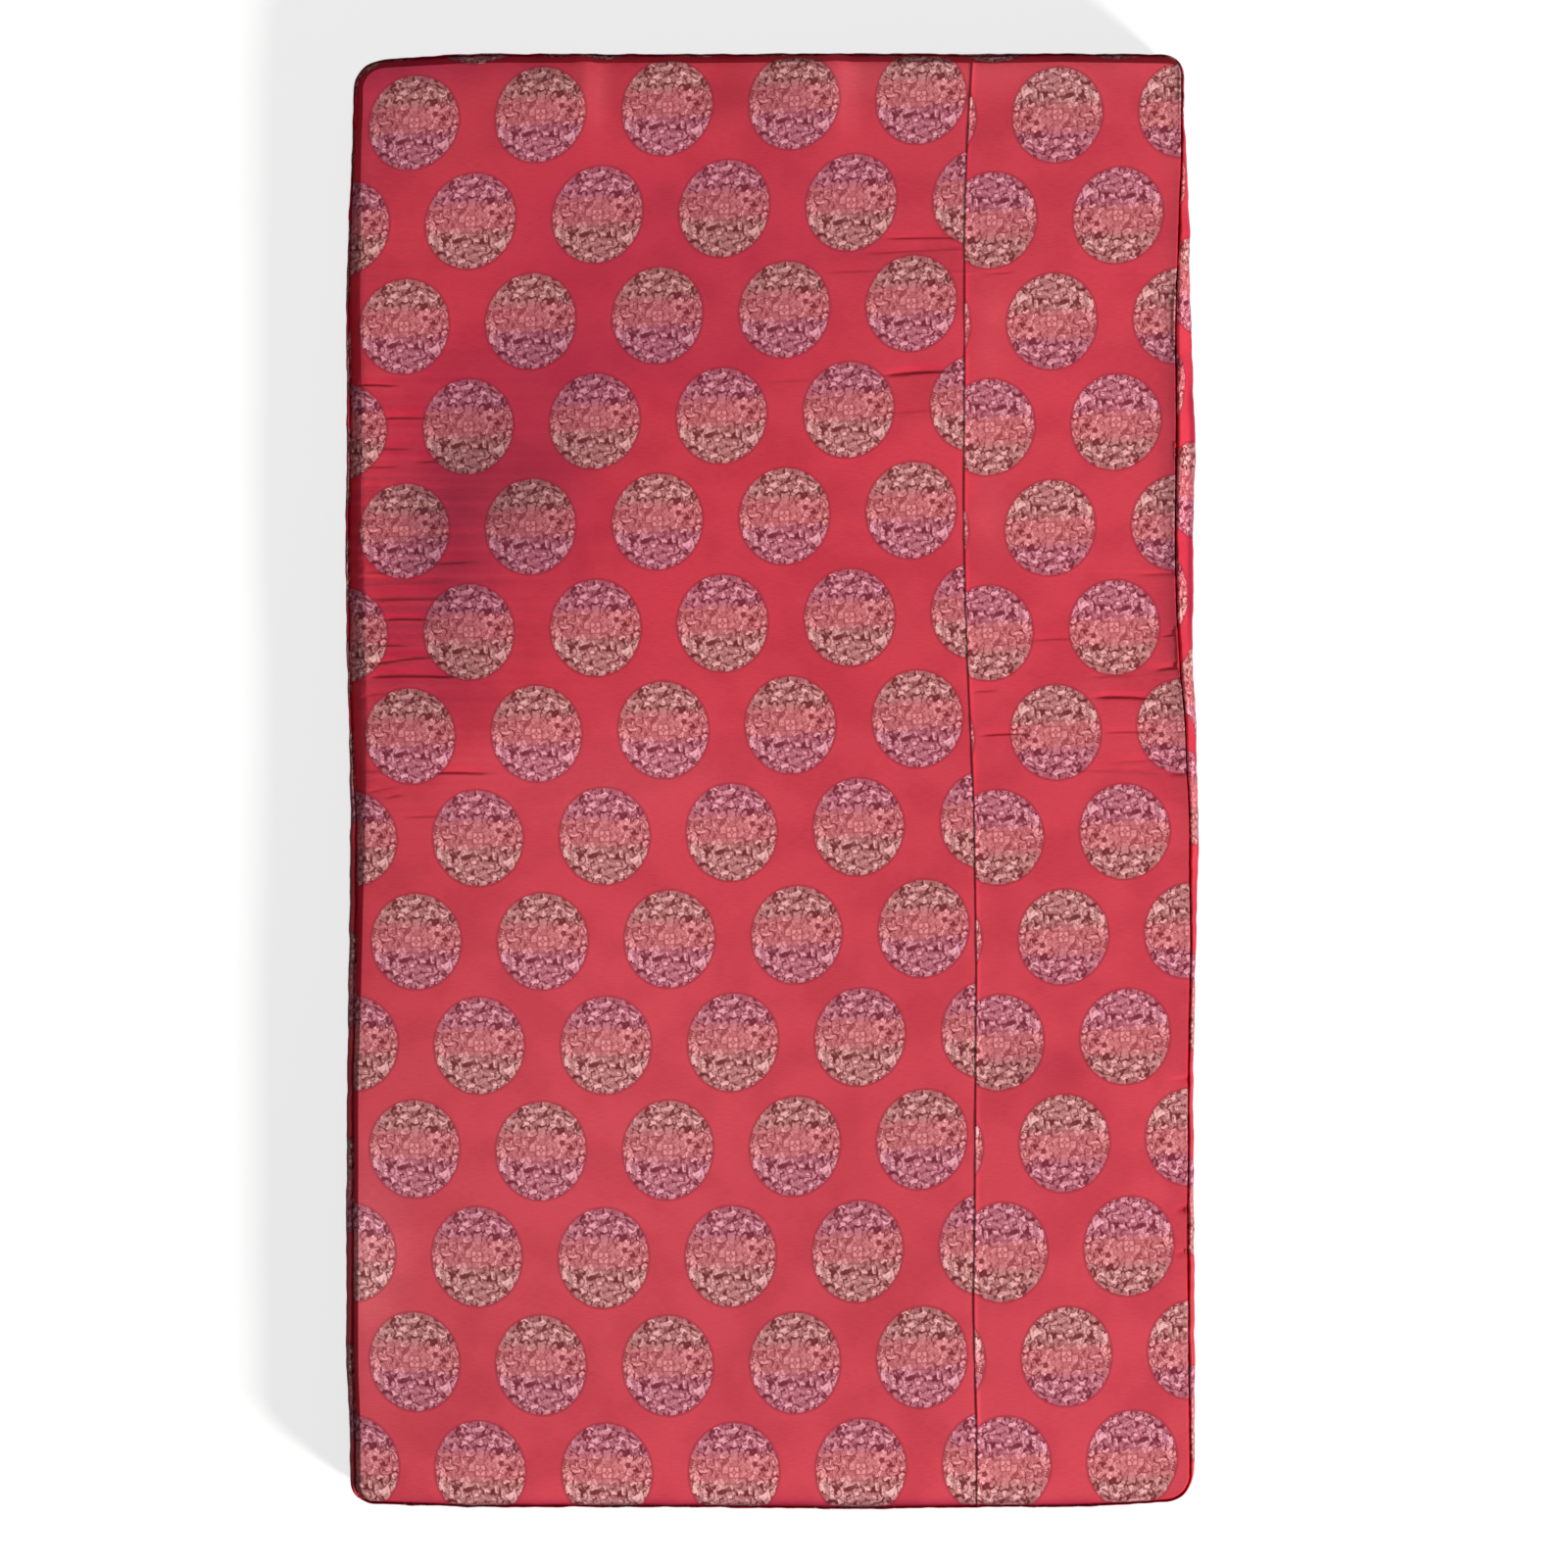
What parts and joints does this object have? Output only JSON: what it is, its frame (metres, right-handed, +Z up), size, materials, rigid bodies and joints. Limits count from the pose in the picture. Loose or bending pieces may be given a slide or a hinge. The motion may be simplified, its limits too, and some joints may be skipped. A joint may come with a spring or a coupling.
{
  "type": "long boxed seat cushion",
  "caption": "Long flat seat cushion: a filled body with a bulged side band, a top cover joined lengthwise from a wide and a narrow panel, and a flat under panel.",
  "frame": {"origin": "middle of the underside, on the surface that the cushion lies on", "axes": "+Y along the cushion towards its head end, +X across it towards the narrow panel, +Z up out of its face"},
  "size_m": [0.982, 1.6764, 0.087],
  "materials": {
    "side_band_silk": "red satin-ground silk with woven roundels, gathered a little along its length",
    "top_silk": "red satin-ground silk with woven roundels in pink, grey-green and purple, soft sheen",
    "under_cloth": "plain dark red cotton, matt, fine plain weave"
  },
  "bodies": {
    "root": {"boxed_body": "side_band_silk", "wide_top_panel": "top_silk", "narrow_top_panel": "top_silk", "under_panel": "under_cloth"}
  },
  "joints": []
}
